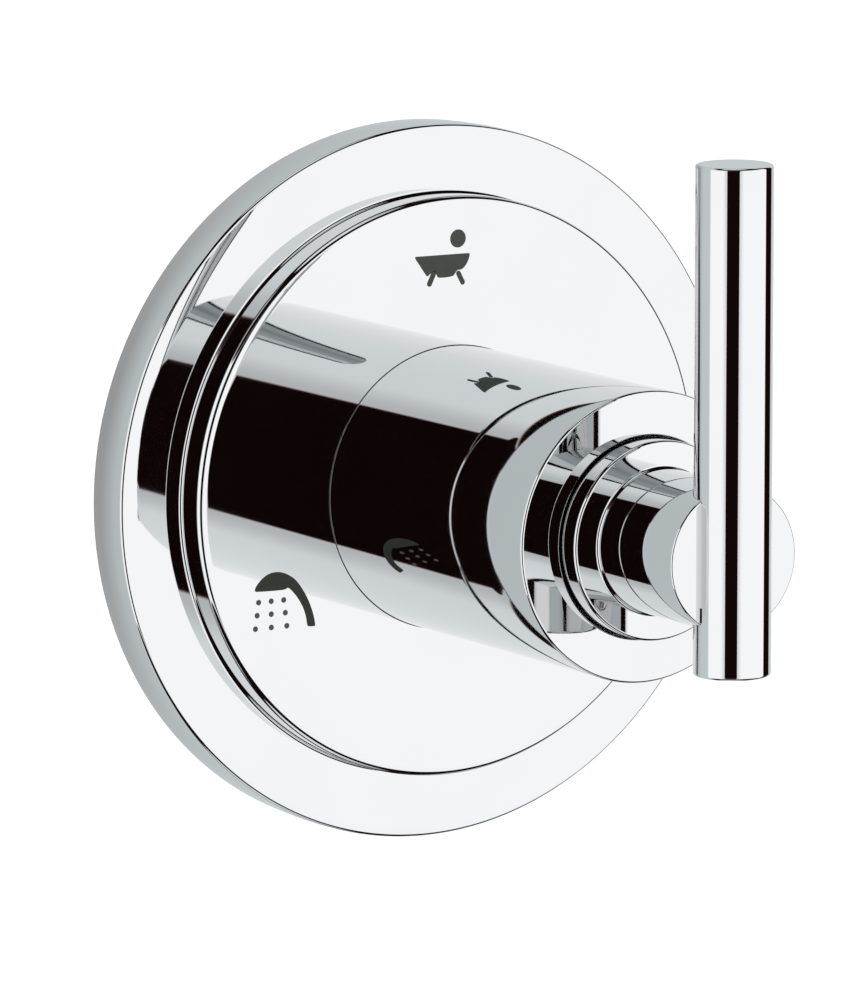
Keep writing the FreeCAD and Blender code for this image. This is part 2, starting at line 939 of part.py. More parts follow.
def pipe_run(name, side, radius, near, far):
    """A cylinder along one pipe's axis, between two distances out from the valve's axis."""
    low, high = (near, far) if side in ("right", "top") else (opposite(far), opposite(near))
    if side in ("left", "right"):
        return bar_x(name, radius, low, high, "port_depth")
    return bar_z(name, radius, low, high, "0", "port_depth")


def boss_end(name, side):
    """The chamfered end of a boss."""
    rotation = ALONG_X if side in ("left", "right") else ALONG_Z
    slim = "port_boss - boss_chamfer"
    if side in ("right", "top"):
        return taper(name, "port_boss", slim, "port_reach - boss_chamfer", "port_reach", "port_depth", rotation)
    return taper(name, slim, "port_boss", "0 - port_reach", "0 - port_reach + boss_chamfer", "port_depth", rotation)


def boss_sockets(name):
    """Room for the bosses, with a little clearance round them."""
    return [
        pipe_run(name + "_" + side, side, "port_boss + boss_clearance", BOSS_INNER, "port_reach + 1")
        for side in SIDES
    ]


node(
    less(
        "valve_body",
        joined(
            "valve_body_blank",
            bar_y("body_block", "block_radius", PLATE_FRONT, "0 - block_front"),
            bar_y("body_neck", "neck_outer", "0 - block_front - 1", "housing_flange_back"),
            *[pipe_run("boss_root_" + side, side, "port_boss", "0", BOSS_INNER) for side in SIDES],
        ),
        bar_y("chamber", "chamber_radius", "0 - floor_depth", "housing_flange_back + 1"),
        *port_bars("passage", "port_hole", "0 - port_depth", "0 - floor_depth + 1", "inlet_hole"),
        bar_x("bore_left", "port_bore", "0 - port_reach + 1", "0 - side_bore_end", "port_depth", "0 - side_bore_drop"),
        bar_x("bore_right", "port_bore", "side_bore_end", "port_reach - 1", "port_depth", "0 - side_bore_drop"),
        bar_z("bore_top", "port_bore", "top_bore_end", "port_reach - 1", "0", "port_depth"),
        bar_z("bore_bottom", "port_bore", "0 - port_reach + 1", "inlet_bore_rise", "0", "port_depth"),
        block("back_plate_space", ("100", "20", "100"), "0 - 50", "block_back - lug_thickness", "0 - 50"),
        *boss_sockets("body_socket"),
    ),
    "valve_body",
)
node(
    together(
        "pipe_bosses",
        *[
            less(
                "pipe_boss_" + side,
                joined(
                    "pipe_boss_blank_" + side,
                    pipe_run("boss_tube_" + side, side, "port_boss", BOSS_INNER, "port_reach - boss_chamfer"),
                    boss_end("boss_end_" + side, side),
                ),
                pipe_run("thread_" + side, side, "port_thread", BOSS_INNER + " - 1", "port_reach + 1"),
            )
            for side in SIDES
        ],
    ),
    "pipe_bosses",
)
plate = [bar_y("back_plate_disc", "block_radius", "0 - block_back", PLATE_FRONT)]
holes = []
DIAGONAL = repr(round(math.sqrt(0.5), 9))
for n, (sx, sz) in enumerate(((1, 1), (-1, 1), (-1, -1), (1, -1)), start=1):
    x = ("" if sx > 0 else "-") + "Sizes.lug_place * " + DIAGONAL
    z = ("" if sz > 0 else "-") + "Sizes.lug_place * " + DIAGONAL
    ear = bar_y("lug_%d" % n, "lug_radius", "0 - block_back", PLATE_FRONT)
    ear.setExpression("Placement.Base.x", x)
    ear.setExpression("Placement.Base.z", z)
    # a web as wide as the lug runs from the plate's middle out to the lug's centre
    angle = math.degrees(math.atan2(sz, sx))
    web = doc.addObject("Part::Box", "lug_web_%d" % n)
    web.setExpression("Length", "Sizes.lug_place")
    web.setExpression("Width", "Sizes.lug_radius * 2")
    web.setExpression("Height", "Sizes.lug_thickness")
    spin = FreeCAD.Rotation(V(0, 1, 0), -angle).multiply(ALONG_Y)
    web.Placement = FreeCAD.Placement(
        V(0, KNOWN["block_back"] - KNOWN["lug_thickness"], 0).add(
            spin.multVec(V(0, -KNOWN["lug_radius"], 0))
        ),
        spin,
    )
    plate += [ear, web]
    hole = bar_y("lug_hole_%d" % n, "lug_hole", "0 - block_back - 1", PLATE_FRONT + " + 1")
    hole.setExpression("Placement.Base.x", x)
    hole.setExpression("Placement.Base.z", z)
    holes.append(hole)
node(
    less("fixing_plate", joined("fixing_plate_blank", *plate), *holes, *boss_sockets("plate_socket")),
    "fixing_plate",
)

# ---- check and write ----

doc.recompute()
bad = [o.Label for o in doc.Objects if "Invalid" in o.State or "Error" in o.State]
if bad:
    raise RuntimeError("failed objects: %s" % bad)
for o in nodes:
    if o.Shape.isNull() or not o.Shape.isValid():
        raise RuntimeError("bad shape: " + o.Label)
os.makedirs("parts", exist_ok=True)
for o in nodes:
    o.Shape.exportStep("parts/%s.step" % o.Label)
    box = o.Shape.BoundBox
    print(
        "%-22s solids %d volume %9.1f  x %7.2f %7.2f  y %7.2f %7.2f  z %7.2f %7.2f"
        % (o.Label, len(o.Shape.Solids), o.Shape.Volume, box.XMin, box.XMax, box.YMin, box.YMax, box.ZMin, box.ZMax)
    )
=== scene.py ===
import json
import math

import bmesh
import bpy
import numpy as np
from mathutils import Matrix, Vector


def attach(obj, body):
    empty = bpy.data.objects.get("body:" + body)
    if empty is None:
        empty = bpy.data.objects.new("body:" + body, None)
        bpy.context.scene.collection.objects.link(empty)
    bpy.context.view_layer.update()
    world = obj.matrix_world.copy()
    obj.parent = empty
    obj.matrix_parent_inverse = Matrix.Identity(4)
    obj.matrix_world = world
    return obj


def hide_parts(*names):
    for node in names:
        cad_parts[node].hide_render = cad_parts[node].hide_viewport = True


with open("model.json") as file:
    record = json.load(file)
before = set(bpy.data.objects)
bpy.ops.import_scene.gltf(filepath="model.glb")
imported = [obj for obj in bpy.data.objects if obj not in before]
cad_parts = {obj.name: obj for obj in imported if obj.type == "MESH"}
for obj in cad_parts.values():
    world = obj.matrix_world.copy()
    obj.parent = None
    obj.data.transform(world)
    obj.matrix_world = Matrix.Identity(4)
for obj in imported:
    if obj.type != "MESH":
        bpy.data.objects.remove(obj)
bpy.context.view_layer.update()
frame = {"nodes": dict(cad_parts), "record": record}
scene = bpy.context.scene
scene.view_settings.view_transform = "Standard"
MM = 0.001

# ---------------------------------------------------------------- node helpers


class Tree:
    """Short ways to add and join shader nodes."""

    def __init__(self, tree):
        self.tree = tree
        tree.nodes.clear()

    def add(self, kind, **values):
        n = self.tree.nodes.new(kind)
        for key, value in values.items():
            setattr(n, key, value)
        return n

    def put(self, value, socket):
        if isinstance(value, bpy.types.NodeSocket):
            self.tree.links.new(value, socket)
        else:
            socket.default_value = value

    def sum(self, operation, a, b=0.0, clamp=False):
        n = self.add("ShaderNodeMath", operation=operation, use_clamp=clamp)
        self.put(a, n.inputs[0])
        self.put(b, n.inputs[1])
        return n.outputs[0]

    def ramp(self, value, low, high, to_low=0.0, to_high=1.0, smooth=True):
        n = self.add("ShaderNodeMapRange")
        n.interpolation_type = "SMOOTHSTEP" if smooth else "LINEAR"
        n.clamp = True
        self.put(value, n.inputs["Value"])
        n.inputs["From Min"].default_value = low
        n.inputs["From Max"].default_value = high
        n.inputs["To Min"].default_value = to_low
        n.inputs["To Max"].default_value = to_high
        return n.outputs["Result"]

    def mix(self, share, a, b):
        """Number a at share 0 and b at share 1."""
        n = self.add("ShaderNodeMix", data_type="FLOAT")
        self.put(share, n.inputs[0])
        self.put(a, n.inputs[2])
        self.put(b, n.inputs[3])
        return n.outputs[0]

    def tint(self, share, a, b):
        n = self.add("ShaderNodeMix", data_type="RGBA")
        self.put(share, n.inputs[0])
        self.put(a, n.inputs[6])
        self.put(b, n.inputs[7])
        return n.outputs[2]

    def noise(self, vector, scale, detail=3.0, rough=0.5):
        n = self.add("ShaderNodeTexNoise")
        self.put(vector, n.inputs["Vector"])
        n.inputs["Scale"].default_value = scale
        n.inputs["Detail"].default_value = detail
        n.inputs["Roughness"].default_value = rough
        return n.outputs["Fac"]

    def bump(self, height, distance, normal=None, strength=1.0):
        n = self.add("ShaderNodeBump")
        n.inputs["Strength"].default_value = strength
        n.inputs["Distance"].default_value = distance
        self.put(height, n.inputs["Height"])
        if normal is not None:
            self.put(normal, n.inputs["Normal"])
        return n.outputs["Normal"]

    def eased_edges(self, radius):
        """Shading normal with sharp edges softened over a small radius."""
        n = self.add("ShaderNodeBevel", samples=6)
        n.inputs["Radius"].default_value = radius
        return n.outputs["Normal"]

    def place(self):
        return self.add("ShaderNodeTexCoord").outputs["Object"]

    def stretched(self, vector, scale):
        n = self.add("ShaderNodeMapping")
        self.put(vector, n.inputs["Vector"])
        n.inputs["Scale"].default_value = scale
        return n.outputs[0]


def material(name):
    m = bpy.data.materials.new(name)
    m.use_nodes = True
    t = Tree(m.node_tree)
    out = t.add("ShaderNodeOutputMaterial")
    p = t.add("ShaderNodeBsdfPrincipled")
    t.tree.links.new(p.outputs[0], out.inputs["Surface"])
    return m, t, p


# ------------------------------------------------------------------- materials


def chrome_look(name):
    """Polished plate: a very slight waviness of the polish and faint wiping haze."""
    m, t, p = material(name)
    at = t.place()
    haze = t.noise(at, 45.0, 4.0)
    fine = t.noise(at, 900.0, 2.0)
    p.inputs["Metallic"].default_value = 1.0
    t.put(t.tint(haze, (0.637, 0.642, 0.652, 1), (0.664, 0.669, 0.677, 1)), p.inputs["Base Color"])
    t.put(t.ramp(t.sum("ADD", haze, t.sum("MULTIPLY", fine, 0.35)), 0.35, 1.0, 0.012, 0.032), p.inputs["Roughness"])
    t.put(t.bump(t.noise(at, 70.0, 1.0), 0.0000022), p.inputs["Normal"])
    return m


def brass_look(name, forged):
    """Raw brass: sand-blasted forging with turned port faces, or a plainly turned surface."""
    m, t, p = material(name)
    at = t.place()
    stain = t.noise(at, 55.0, 5.0, 0.6)
    grit = t.noise(at, 1500.0, 3.0, 0.6)
    p.inputs["Metallic"].default_value = 1.0
    base = t.tint(t.ramp(stain, 0.3, 0.72), (0.56, 0.39, 0.17, 1), (0.74, 0.56, 0.27, 1))
    split = t.add("ShaderNodeSeparateXYZ")
    t.put(at, split.inputs[0])
    x, y, z = split.outputs
    if forged:
        reach = t.sum("MAXIMUM", t.sum("ABSOLUTE", x), t.sum("ABSOLUTE", z))
        turned = t.sum(
            "MAXIMUM",
            t.ramp(reach, 0.03585, 0.03595),
            t.sum("MAXIMUM", t.ramp(y, 0.03585, 0.03595), t.ramp(y, 0.0006, 0.0002)),
        )
        # tool marks are rings about each port's own axis
        side = t.sum("MINIMUM", t.sum("ABSOLUTE", x), t.sum("ABSOLUTE", z))
        dy = t.sum("SUBTRACT", y, 0.019)
        ring = t.sum("SQRT", t.sum("ADD", t.sum("MULTIPLY", side, side), t.sum("MULTIPLY", dy, dy)))
        marks = t.sum("SINE", t.sum("MULTIPLY", ring, 24000.0))
        height = t.mix(turned, t.sum("MULTIPLY", grit, 1.0), t.sum("MULTIPLY", marks, 0.05))
        soft = t.bump(height, 0.00012, t.eased_edges(0.0007))
        # thread ridges along each port, 14 to the inch
        ridge = t.sum("PINGPONG", reach, 0.000907)
        ridge = t.sum("MULTIPLY", ridge, 1 / 0.000907)
        inside = t.sum("MULTIPLY", t.ramp(ring, 0.00946, 0.0094), t.ramp(reach, 0.0212, 0.0214))
        t.put(t.bump(t.sum("MULTIPLY", ridge, inside), 0.0011, soft), p.inputs["Normal"])
        t.put(t.mix(turned, t.ramp(grit, 0.3, 0.7, 0.4, 0.56), t.ramp(stain, 0.3, 0.7, 0.2, 0.3)), p.inputs["Roughness"])
        t.put(t.tint(turned, base, (0.78, 0.6, 0.3, 1)), p.inputs["Base Color"])
    else:
        marks = t.sum("SINE", t.sum("MULTIPLY", y, 22000.0))
        fine = t.sum("ADD", t.sum("MULTIPLY", marks, 0.5), t.sum("MULTIPLY", grit, 0.4))
        t.put(t.bump(fine, 0.000006, t.eased_edges(0.0002)), p.inputs["Normal"])
        t.put(t.ramp(stain, 0.3, 0.7, 0.2, 0.32), p.inputs["Roughness"])
        t.put(base, p.inputs["Base Color"])
    return m


def moulded_look(name, dark, light, rough, grain, depth):
    """Moulded plastic or rubber with a fine grain."""
    m, t, p = material(name)
    at = t.place()
    cloud = t.noise(at, 90.0, 4.0)
    speck = t.noise(at, grain, 3.0, 0.6)
    t.put(t.tint(t.ramp(cloud, 0.3, 0.7), dark, light), p.inputs["Base Color"])
    t.put(t.ramp(speck, 0.3, 0.7, rough - 0.06, rough + 0.06), p.inputs["Roughness"])
    t.put(t.bump(speck, depth, t.eased_edges(0.00025)), p.inputs["Normal"])
    return m


def foam_look(name):
    """Closed-cell foam: small pits over a dark grey skin, with painted shade darkening the pits."""
    m, t, p = material(name)
    at = t.place()
    cells = t.add("ShaderNodeTexVoronoi", feature="DISTANCE_TO_EDGE")
    t.put(at, cells.inputs["Vector"])
    cells.inputs["Scale"].default_value = 1400.0
    wall = t.ramp(cells.outputs["Distance"], 0.02, 0.3)
    # painted shade: the pits are coloured darker than the cell walls round them; the pit depth itself is the bump
    # below
    t.put(t.tint(wall, (0.055, 0.056, 0.06, 1), (0.02, 0.02, 0.022, 1)), p.inputs["Base Color"])
    t.put(t.ramp(t.noise(at, 300.0), 0.3, 0.7, 0.82, 0.95), p.inputs["Roughness"])
    t.put(t.bump(t.sum("SUBTRACT", 1.0, wall), 0.00012), p.inputs["Normal"])
    return m


def ceramic_look(name):
    """Lapped white ceramic, with a faint speckle."""
    m, t, p = material(name)
    at = t.place()
    speck = t.noise(at, 2200.0, 3.0, 0.7)
    t.put(t.tint(t.ramp(speck, 0.35, 0.65), (0.8, 0.78, 0.73, 1), (0.9, 0.885, 0.85, 1)), p.inputs["Base Color"])
    t.put(t.ramp(t.noise(at, 120.0), 0.3, 0.7, 0.16, 0.26), p.inputs["Roughness"])
    t.put(t.bump(speck, 0.000003), p.inputs["Normal"])
    return m


def steel_look(name):
    """Plain steel with fine tool marks."""
    m, t, p = material(name)
    at = t.place()
    marks = t.noise(t.stretched(at, (1.0, 6.0, 6.0)), 1400.0, 3.0, 0.6)
    p.inputs["Metallic"].default_value = 1.0
    t.put(t.tint(marks, (0.42, 0.42, 0.43, 1), (0.56, 0.56, 0.57, 1)), p.inputs["Base Color"])
    t.put(t.ramp(marks, 0.3, 0.7, 0.24, 0.4), p.inputs["Roughness"])
    t.put(t.bump(marks, 0.00001), p.inputs["Normal"])
    return m


def print_look(name, dark, light):
    """Grey-green enamel of the symbols."""
    m, t, p = material(name)
    at = t.place()
    speck = t.noise(at, 2500.0, 3.0, 0.6)
    split = t.add("ShaderNodeSeparateXYZ")
    t.put(at, split.inputs[0])
    # the upper symbol is a little paler than the lower ones
    share = t.sum("ADD", t.ramp(split.outputs[2], -0.015, 0.037), t.sum("MULTIPLY", t.ramp(speck, 0.3, 0.7), 0.15))
    t.put(t.tint(share, dark, light), p.inputs["Base Color"])
    t.put(t.ramp(speck, 0.3, 0.7, 0.5, 0.62), p.inputs["Roughness"])
    p.inputs["Specular IOR Level"].default_value = 0.15
    t.put(t.bump(speck, 0.000004), p.inputs["Normal"])
    return m


def floor_look(name):
    m, t, p = material(name)
    at = t.place()
    t.put(t.tint(t.noise(at, 3.0, 3.0), (0.9, 0.9, 0.9, 1), (0.92, 0.92, 0.92, 1)), p.inputs["Base Color"])
    p.inputs["Roughness"].default_value = 0.9
    p.inputs["Specular IOR Level"].default_value = 0.0
    p.inputs["Emission Color"].default_value = (1, 1, 1, 1)
    p.inputs["Emission Strength"].default_value = 0.62
    return m


chrome = chrome_look("polished_chrome")
forged_brass = brass_look("forged_brass", True)
turned_brass = brass_look("turned_brass", False)
rubber = moulded_look("black_rubber", (0.012, 0.012, 0.013, 1), (0.024, 0.024, 0.025, 1), 0.55, 1800.0, 0.000015)
foam = foam_look("foam")
white_plastic = moulded_look("white_plastic", (0.74, 0.74, 0.7, 1), (0.82, 0.82, 0.79, 1), 0.42, 2400.0, 0.00001)
grey_plastic = moulded_look("grey_plastic", (0.25, 0.26, 0.28, 1), (0.33, 0.34, 0.36, 1), 0.46, 2400.0, 0.000012)
ceramic = ceramic_look("ceramic")
steel = steel_look("steel")
enamel = print_look("symbol_enamel", (0.039, 0.047, 0.036, 1), (0.08, 0.089, 0.076, 1))
drop_enamel = print_look("drop_enamel", (0.1, 0.104, 0.1, 1), (0.112, 0.117, 0.112, 1))

LOOKS = {
    "chrome_trim": chrome,
    "raw_brass": turned_brass,
    "black_rubber": rubber,
    "foam_seal": foam,
    "white_plastic": white_plastic,
    "grey_plastic": grey_plastic,
    "white_ceramic": ceramic,
    "steel_screws": steel,
}
for part in frame["record"]["subparts"]:
    node = frame["nodes"][part["node"]]
    look = forged_brass if part["node"] in ("valve_body", "pipe_bosses", "fixing_plate") else LOOKS[part["material_slot"]]
    node.data.materials.clear()
    node.data.materials.append(look)

# ------------------------------------------------------------- turned surfaces


def section(corners):
    """Closed half section through (radius, station, rounding) corners, anticlockwise.

    Gives the outline's points and, for each span to the next point, the surface normals at its two ends.
    """
    count = len(corners)
    at = [np.array(c[:2], float) for c in corners]
    size = [c[2] if len(c) > 2 else 0.0 for c in corners]
    bends = []
    for i in range(count):
        p, a, b = at[i], at[i - 1], at[(i + 1) % count]
        if not size[i]:
            bends.append(([p], [None]))
            continue
        u = (a - p) / np.linalg.norm(a - p)
        v = (b - p) / np.linalg.norm(b - p)
        half = math.acos(max(-1.0, min(1.0, float(u @ v)))) / 2
        run = size[i] / math.tan(half)
        centre = p + (u + v) / np.linalg.norm(u + v) * size[i] / math.sin(half)
        outward = (p - a)[0] * (b - p)[1] - (p - a)[1] * (b - p)[0] > 0
        start, end = p + u * run - centre, p + v * run - centre
        first = math.atan2(start[1], start[0])
        turn = (math.atan2(end[1], end[0]) - first + math.pi) % (2 * math.pi) - math.pi
        steps = max(8, int(math.degrees(abs(turn)) / 3))
        ways = [
            np.array((math.cos(first + turn * k / steps), math.sin(first + turn * k / steps)))
            for k in range(steps + 1)
        ]
        bends.append(([centre + w * size[i] for w in ways], [w if outward else -w for w in ways]))
    points, spans = [], []
    for i in range(count):
        places, ways = bends[i]
        for k, p in enumerate(places):
            points.append(p)
            if k + 1 < len(places):
                spans.append((ways[k], ways[k + 1]))
        step = bends[(i + 1) % count][0][0] - places[-1]
        flat = np.array((step[1], -step[0])) / np.linalg.norm(step)
        spans.append((flat, flat))
    return points, spans


def on_valve_axis(radius, station, c, s):
    return np.stack([radius * c, 0 * c - station, radius * s], -1) * MM


def on_bar_axis(radius, station, c, s):
    return np.stack([radius * c, radius * s - BAR_STATION, 0 * c + station], -1) * MM


def lathe(name, corners, place=on_valve_axis, segments=384):
    """A closed turned mesh that keeps the exact surface normals."""
    points, spans = section(corners)
    k = np.arange(segments)
    j = (k + 1) % segments
    c, s = np.cos(2 * math.pi * k / segments), np.sin(2 * math.pi * k / segments)
    zero = place(0.0, 0.0, c[:1], s[:1])
    rows, verts, total = [], [], 0
    for r, station in points:
        ring = place(r, station, c, s) if r > 1e-9 else place(0.0, station, c[:1], s[:1])
        rows.append((total, len(ring)))
        verts.append(ring)
        total += len(ring)

    def facing(way):
        n = place(way[0], way[1], c, s) - zero
        return n / np.linalg.norm(n, axis=1)[:, None]

    faces, normals = [], []
    for i, (n0, n1) in enumerate(spans):
        (a, a_count), (b, b_count) = rows[i], rows[(i + 1) % len(points)]
        if a_count == 1 and b_count == 1:
            continue
        low, high = facing(n0), facing(n1)
        if a_count == 1:
            faces += np.stack([0 * k + a, b + j, b + k], 1).tolist()
            normals.append(np.stack([low, high[j], high], 1).reshape(-1, 3))
        elif b_count == 1:
            faces += np.stack([a + k, a + j, 0 * k + b], 1).tolist()
            normals.append(np.stack([low, low[j], high], 1).reshape(-1, 3))
        else:
            faces += np.stack([a + k, a + j, b + j, b + k], 1).tolist()
            normals.append(np.stack([low, low[j], high[j], high], 1).reshape(-1, 3))
    mesh = bpy.data.meshes.new(name)
    mesh.from_pydata(np.concatenate(verts).tolist(), [], faces)
    mesh.update()
    mesh.polygons.foreach_set("use_smooth", [True] * len(mesh.polygons))
    mesh.normals_split_custom_set(np.concatenate(normals).tolist())
    obj = bpy.data.objects.new(name, mesh)
    scene.collection.objects.link(obj)
    return obj


BAR_STATION = 95.95
BAR_RADIUS = 6.05
SEAT_RADIUS = 6.1
GRUB_STATION = 78.7
GRUB_HOLE = 2.05

ESCUTCHEON = [
    (56.0, 0.0, 0.3),
    (58.18, 0.0, 0.25),
    (58.42, 5.4, 65.0),
    (58.25, 8.98, 0.6),
    (56.35, 9.15, 28.0),
    (47.5, 9.15, 0.62),
    (47.3, 9.436, 0.02),
    (47.3, 14.63, 1.0),
    (46.05, 14.85, 4.0),
    (23.16, 14.85, 0.06),
    (23.16, 12.85, 0.05),
    (45.3, 12.85, 0.8),
    (45.3, 7.15, 0.8),
    (56.0, 7.15, 0.8),
]
SLEEVE = [
    (21.3, 1.0, 0.2),
    (23.1, 1.0, 0.2),
    (23.1, 71.8, 0.45),
    (16.1, 71.8, 0.25),
    (16.1, 68.8, 0.2),
    (21.3, 68.8, 0.3),
]
HUB = [
    (5.0, 62.0, 0.2),
    (15.8, 62.0, 0.2),
    (15.8, 75.8, 0.5),
    (11.5, 75.8, 0.5),
    (11.5, 96.35, 0.35),
    (2.15, 96.35),
    (2.15, 84.0),
    (5.0, 84.0, 0.3),
]
BAR = [(0.0, -18.0), (6.05, -18.0, 0.5), (6.05, 61.3, 0.5), (0.0, 61.3)]


def finish_piece(obj, nodes, body, look):
    obj.data.materials.clear()
    obj.data.materials.append(look)
    if nodes:
        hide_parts(*nodes)
    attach(obj, body)
    return obj


finish_piece(lathe("escutcheon_plate", ESCUTCHEON, segments=512), ("escutcheon", "escutcheon_disc"), "valve", chrome)
finish_piece(lathe("sleeve_tube", SLEEVE), ("sleeve",), "valve", chrome)
finish_piece(lathe("lever_rod", BAR, on_bar_axis, 256), ("lever_bar",), "handle", chrome)

# ---- hub: the turned form with the bar's half-round seat across its front and the locking screw's hole below


def drill(radius, low, high, y):
    """A closed round cutter along Z."""
    bm = bmesh.new()
    bmesh.ops.create_cone(
        bm, cap_ends=True, segments=192, radius1=radius * MM, radius2=radius * MM, depth=(high - low) * MM,
        matrix=Matrix.Translation((0, y * MM, (low + high) / 2 * MM)),
    )
    mesh = bpy.data.meshes.new("cutter")
    bm.to_mesh(mesh)
    bm.free()
    obj = bpy.data.objects.new("cutter", mesh)
    scene.collection.objects.link(obj)
    return obj


hub = lathe("hub", HUB, segments=384)
cutters = [drill(SEAT_RADIUS, -20, 20, -BAR_STATION), drill(GRUB_HOLE, -20, 0, -GRUB_STATION)]
for c in cutters:
    cut = hub.modifiers.new("cut", "BOOLEAN")
    cut.operation = "DIFFERENCE"
    cut.solver = "EXACT"
    cut.object = c
bpy.context.view_layer.update()
shaped = bpy.data.meshes.new_from_object(hub.evaluated_get(bpy.context.evaluated_depsgraph_get()))
hub.modifiers.clear()
hub.data = shaped
for c in cutters:
    bpy.data.objects.remove(c)


def numbers(items, what, width, kind=float):
    """One value per item of a mesh's collection, as an array."""
    out = np.empty(len(items) * width, kind)
    items.foreach_get(what, out)
    return out.reshape(-1, width) if width > 1 else out


def exact_normals(mesh, corners):
    """Gives each face's corners the normal of the turned or drilled surface that the face lies on."""
    points, spans = section(corners)
    pts = np.array(points)
    run = np.roll(pts, -1, axis=0) - pts
    length2 = (run**2).sum(1)
    first = np.array([s[0] for s in spans])
    last = np.array([s[1] for s in spans])
    centre = numbers(mesh.polygons, "center", 3) / MM
    way = numbers(mesh.polygons, "normal", 3)
    owner = np.repeat(np.arange(len(mesh.polygons)), numbers(mesh.polygons, "loop_total", 1, int))
    p = numbers(mesh.vertices, "co", 3)[numbers(mesh.loops, "vertex_index", 1, int)] / MM
    # the nearest span of the section that faces the same way as the face does
    here = np.stack([np.hypot(centre[:, 0], centre[:, 2]), -centre[:, 1]], 1)
    share = np.clip(((here[:, None] - pts) * run).sum(2) / length2, 0, 1)
    gap = np.linalg.norm(pts + run * share[..., None] - here[:, None], axis=2)
    radial = (way[:, 0] * centre[:, 0] + way[:, 2] * centre[:, 2]) / np.maximum(here[:, 0], 1e-9)
    facing = radial[:, None] * first[:, 0] - way[:, 1][:, None] * first[:, 1]
    best = np.argmin(gap + 5.0 * (facing < 0.5), axis=1)[owner]
    r = np.maximum(np.hypot(p[:, 0], p[:, 2]), 1e-9)
    q = np.stack([r, -p[:, 1]], 1)
    w = np.clip(((q - pts[best]) * run[best]).sum(1) / length2[best], 0, 1)[:, None]
    n = first[best] * (1 - w) + last[best] * w
    normals = np.stack([n[:, 0] * p[:, 0] / r, -n[:, 1], n[:, 0] * p[:, 2] / r], 1)
    # drilled faces point at their own axis
    for station, radius, kept in (
        (BAR_STATION, SEAT_RADIUS, centre[:, 1] > -(BAR_STATION + 0.5)),
        (GRUB_STATION, GRUB_HOLE, centre[:, 2] < -4),
    ):
        away = np.hypot(centre[:, 0], centre[:, 1] + station)
        on = ((np.abs(away - radius) < 0.02) & kept)[owner]
        normals[on] = np.stack([-p[on, 0], -(p[on, 1] + station), 0 * p[on, 0]], 1)
    normals /= np.linalg.norm(normals, axis=1)[:, None]
    mesh.polygons.foreach_set("use_smooth", [True] * len(mesh.polygons))
    mesh.normals_split_custom_set(normals.tolist())


exact_normals(hub.data, HUB)
finish_piece(hub, ("handle_hub",), "handle", chrome)

# ---- a slim strip on each side that leads the bar's side down to the tip's face, with a narrow gap at its lower end


def seat_strip(name, runs):
    """Prisms on both sides of the bar, each from (outline, normals of its seen points, low, high)."""
    verts, faces, given = [], [], []
    for outline, ways, low, high in runs:
        count = len(outline)
        for side in (1, -1):
            first = len(verts)
            for z in (low, high):
                verts += [(side * x * MM, -(BAR_STATION + f) * MM, z * MM) for x, f in outline]
            for k in range(count):
                j = (k + 1) % count
                quad = [first + k, first + j, first + count + j, first + count + k]
                n = [None] * 4
                if 0 < j < len(ways):
                    n = [(side * ways[i][0], -ways[i][1], 0.0) for i in (k, j, j, k)]
                faces.append(quad if side < 0 else quad[::-1])
                given.append(n if side < 0 else n[::-1])
            for top, start in ((False, first), (True, first + count)):
                cap = list(range(start, start + count))
                faces.append(cap if top == (side < 0) else cap[::-1])
                given.append([None] * count)
    mesh = bpy.data.meshes.new(name)
    mesh.from_pydata(verts, [], faces)
    mesh.update()
    mesh.polygons.foreach_set("use_smooth", [True] * len(mesh.polygons))
    mesh.normals_split_custom_set([n or tuple(f.normal) for f, ns in zip(mesh.polygons, given) for n in ns])
    obj = bpy.data.objects.new(name, mesh)
    scene.collection.objects.link(obj)
    return obj


SEAT_STEP = 96.35 - BAR_STATION


def tangent_strip(angle=77.5, spread=2.0, lift=-0.03):
    """Along the plane that touches the bar at an angle from its front, down to a height over the tip's face."""
    c, s = math.cos(math.radians(angle)), math.sin(math.radians(angle))
    touch = (BAR_RADIUS * s, BAR_RADIUS * c)
    foot = (touch[0] + (touch[1] - SEAT_STEP - lift) * c / s, SEAT_STEP + lift)
    deep = math.radians(angle - 5.0)
    inside = ((BAR_RADIUS - 0.01) * math.sin(deep), (BAR_RADIUS - 0.01) * math.cos(deep))
    low = math.radians(angle - spread)
    return [foot, touch, inside, (5.8, SEAT_STEP + lift)], [(math.sin(low), math.cos(low)), (s, c)]


strip = seat_strip("seat_strip", [(*tangent_strip(), -7.0, 9.3), (*tangent_strip(lift=0.3), -9.2, -7.0)])
finish_piece(strip, None, "handle", chrome)

# --------------------------------------------------------------------- symbols

FACE = 14.85


def slab(name, outlines, look=enamel, low=-0.02, high=0.03):
    """Flat plates through closed (x, z) outlines, standing just proud of the cover's front face."""
    bm = bmesh.new()
    for outline in outlines:
        ring = [bm.verts.new((x * MM, -(FACE + low) * MM, z * MM)) for x, z in outline]
        top = [bm.verts.new((x * MM, -(FACE + high) * MM, z * MM)) for x, z in outline]
        bm.faces.new(ring)
        bm.faces.new(list(reversed(top)))
        for k in range(len(ring)):
            j = (k + 1) % len(ring)
            bm.faces.new((ring[k], top[k], top[j], ring[j]))
    bmesh.ops.triangulate(bm, faces=[f for f in bm.faces if len(f.verts) > 4])
    bmesh.ops.recalc_face_normals(bm, faces=bm.faces)
    mesh = bpy.data.meshes.new(name)
    bm.to_mesh(mesh)
    bm.free()
    obj = bpy.data.objects.new(name, mesh)
    scene.collection.objects.link(obj)
    return finish_piece(obj, None, "valve", look)


def disc(x, z, r, count=32):
    return [
        (x + r * math.cos(2 * math.pi * k / count), z + r * math.sin(2 * math.pi * k / count)) for k in range(count)
    ]


